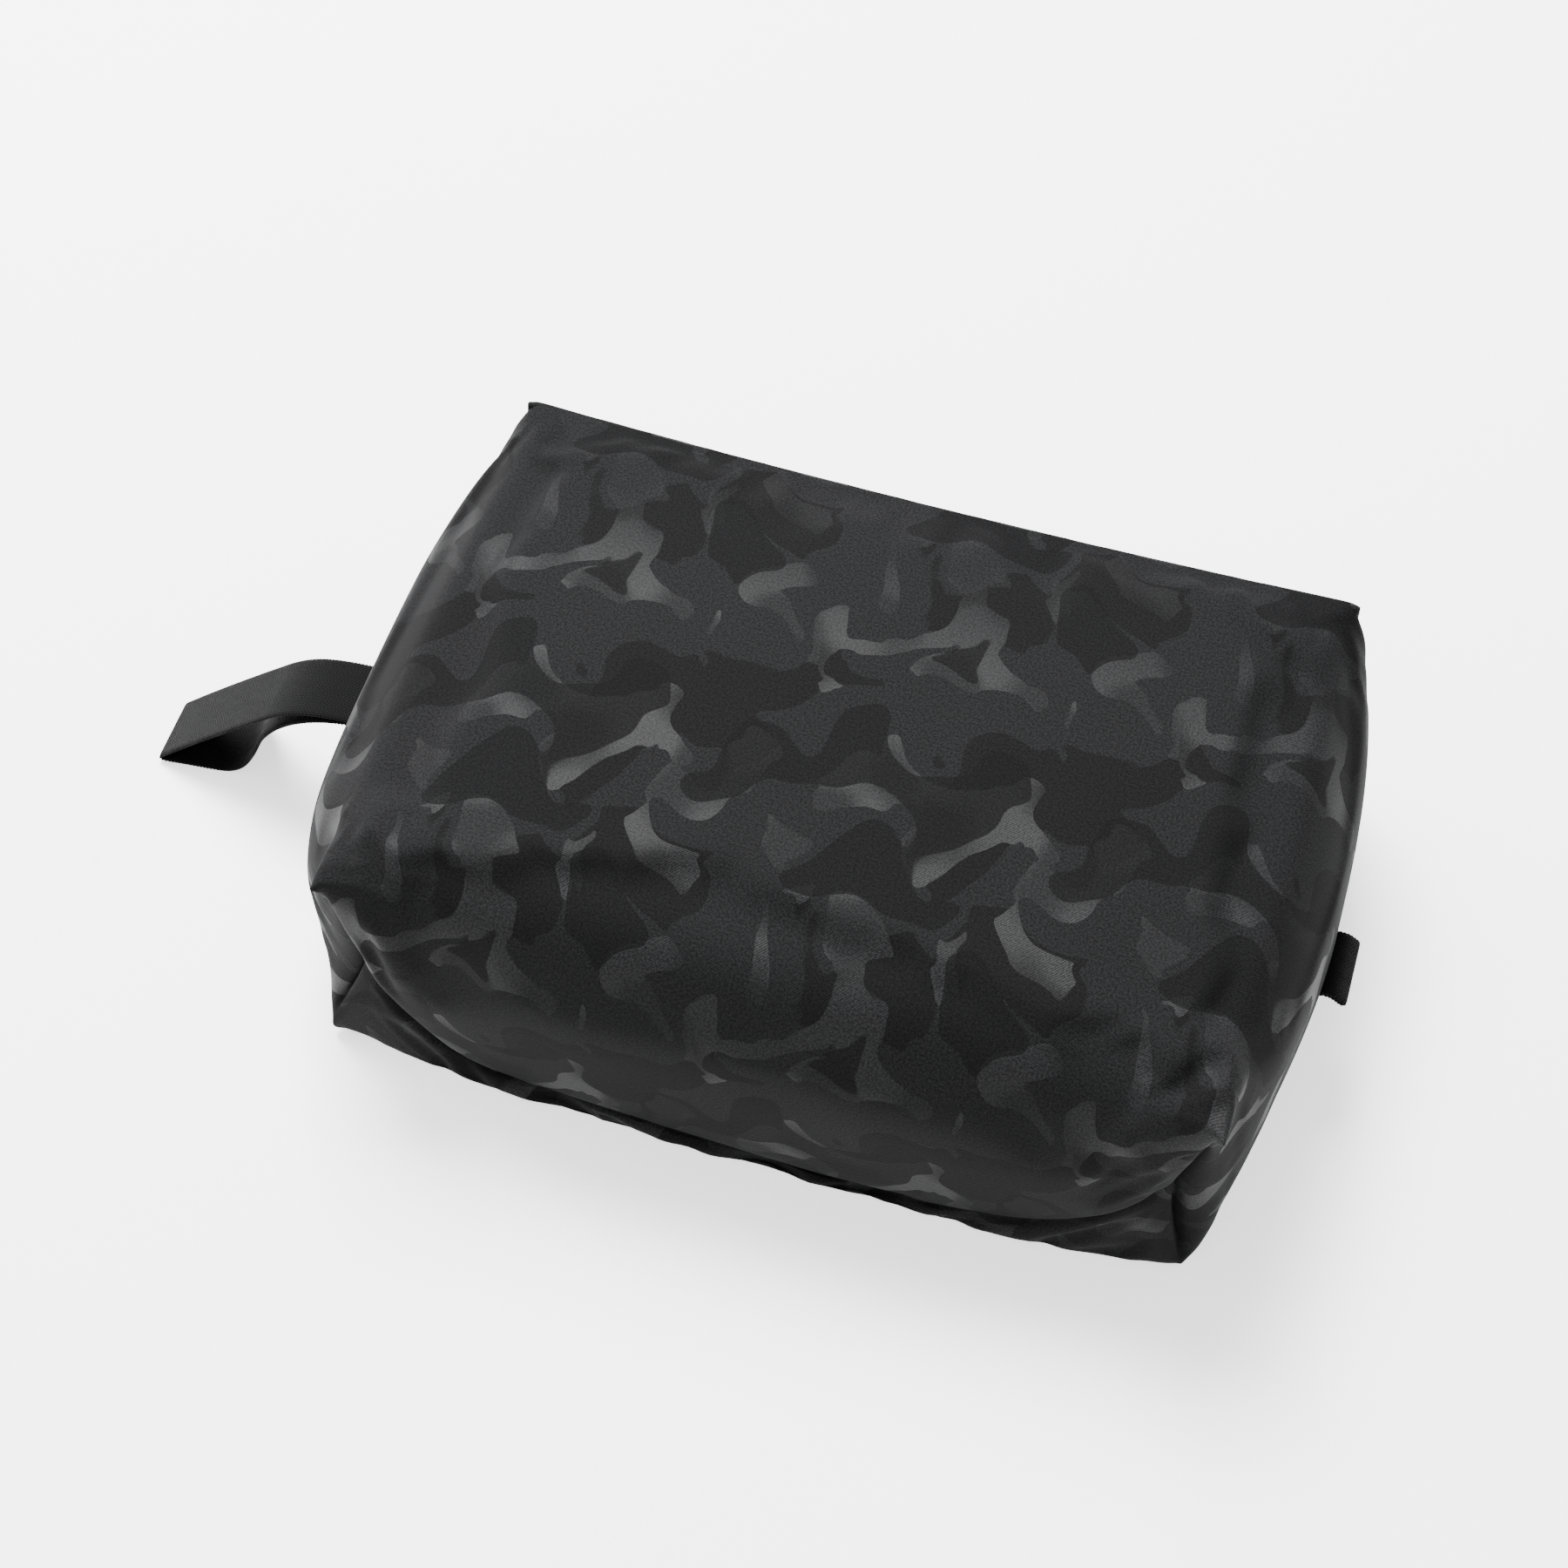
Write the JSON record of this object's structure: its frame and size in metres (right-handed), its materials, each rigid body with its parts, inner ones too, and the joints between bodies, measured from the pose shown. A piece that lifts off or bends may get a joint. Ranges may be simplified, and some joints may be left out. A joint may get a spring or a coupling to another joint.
{
  "type": "hanging toiletry bag",
  "caption": "Soft boxed toiletry bag with a zip along one long side, a webbing hanging loop at one end and a small webbing tab at the other.",
  "frame": {"origin": "middle of the back panel's underside, which the bag lies on", "axes": "+X along the zip towards the grab tab, +Y from the base to the zip face, +Z from the back panel to the front panel"},
  "size_m": [0.3759, 0.1857, 0.086],
  "materials": {
    "shell_cloth": "black tone-on-tone jacquard, satin patches on a matt ground",
    "lining_cloth": "plain dark taffeta",
    "tape_cloth": "woven zip tape and bias binding, matt black",
    "coil_plastic": "black polyester coil",
    "zip_metal": "black enamelled zinc",
    "webbing": "black rib-weave webbing"
  },
  "bodies": {
    "bag": {"front_panel": "shell_cloth", "back_panel": "shell_cloth", "base_panel": "shell_cloth", "left_end_upper": "shell_cloth", "left_end_lower": "shell_cloth", "right_end_upper": "shell_cloth", "right_end_lower": "shell_cloth", "zip_facing_left": "shell_cloth", "zip_facing_right": "shell_cloth", "lining": "lining_cloth", "side_seam_binding_left": "tape_cloth", "side_seam_binding_right": "tape_cloth", "corner_binding_base_left": "tape_cloth", "corner_binding_base_right": "tape_cloth", "corner_binding_zip_left": "tape_cloth", "corner_binding_zip_right": "tape_cloth", "zipper_end_left": "tape_cloth", "zipper_end_right": "tape_cloth", "zip_top_stop_upper": "zip_metal", "zip_top_stop_lower": "zip_metal", "zip_bottom_stop": "zip_metal"},
    "upper_lip": {"zip_panel_upper": "shell_cloth", "zipper_tape_upper": "tape_cloth", "zipper_coil_upper": "coil_plastic"},
    "lower_lip": {"zip_panel_lower": "shell_cloth", "zipper_tape_lower": "tape_cloth", "zipper_coil_lower": "coil_plastic"},
    "slider": {"zip_slider": "zip_metal"},
    "puller": {"zip_puller": "zip_metal"},
    "hang_loop": {"hang_loop": "webbing"},
    "grab_tab": {"grab_tab": "webbing"}
  },
  "joints": [
    {"name": "zip_slide", "type": "slide", "parent": "bag", "child": "slider", "axis": [-1, 0, 0], "range_m": [0, 0.221]},
    {"name": "puller_swing", "type": "hinge", "parent": "slider", "child": "puller", "pos_m": [0.1105, 0.0931, 0.043], "axis": [0, 0, -1], "range_deg": [0, 175]},
    {"name": "upper_lip_open", "type": "hinge", "parent": "bag", "child": "upper_lip", "pos_m": [0, 0.089, 0.08485], "axis": [1, 0, 0], "range_deg": [0, 80]},
    {"name": "lower_lip_open", "type": "hinge", "parent": "bag", "child": "lower_lip", "pos_m": [0, 0.089, 0.00115], "axis": [-1, 0, 0], "range_deg": [0, 80]},
    {"name": "hang_loop_swing", "type": "hinge", "parent": "bag", "child": "hang_loop", "pos_m": [-0.15225, -0.002, 0.043], "axis": [0, 1, 0], "range_deg": [0, 85]},
    {"name": "grab_tab_swing", "type": "hinge", "parent": "bag", "child": "grab_tab", "pos_m": [0.14875, -0.0045, 0.043], "axis": [0, 1, 0], "range_deg": [-75, 30]}
  ]
}
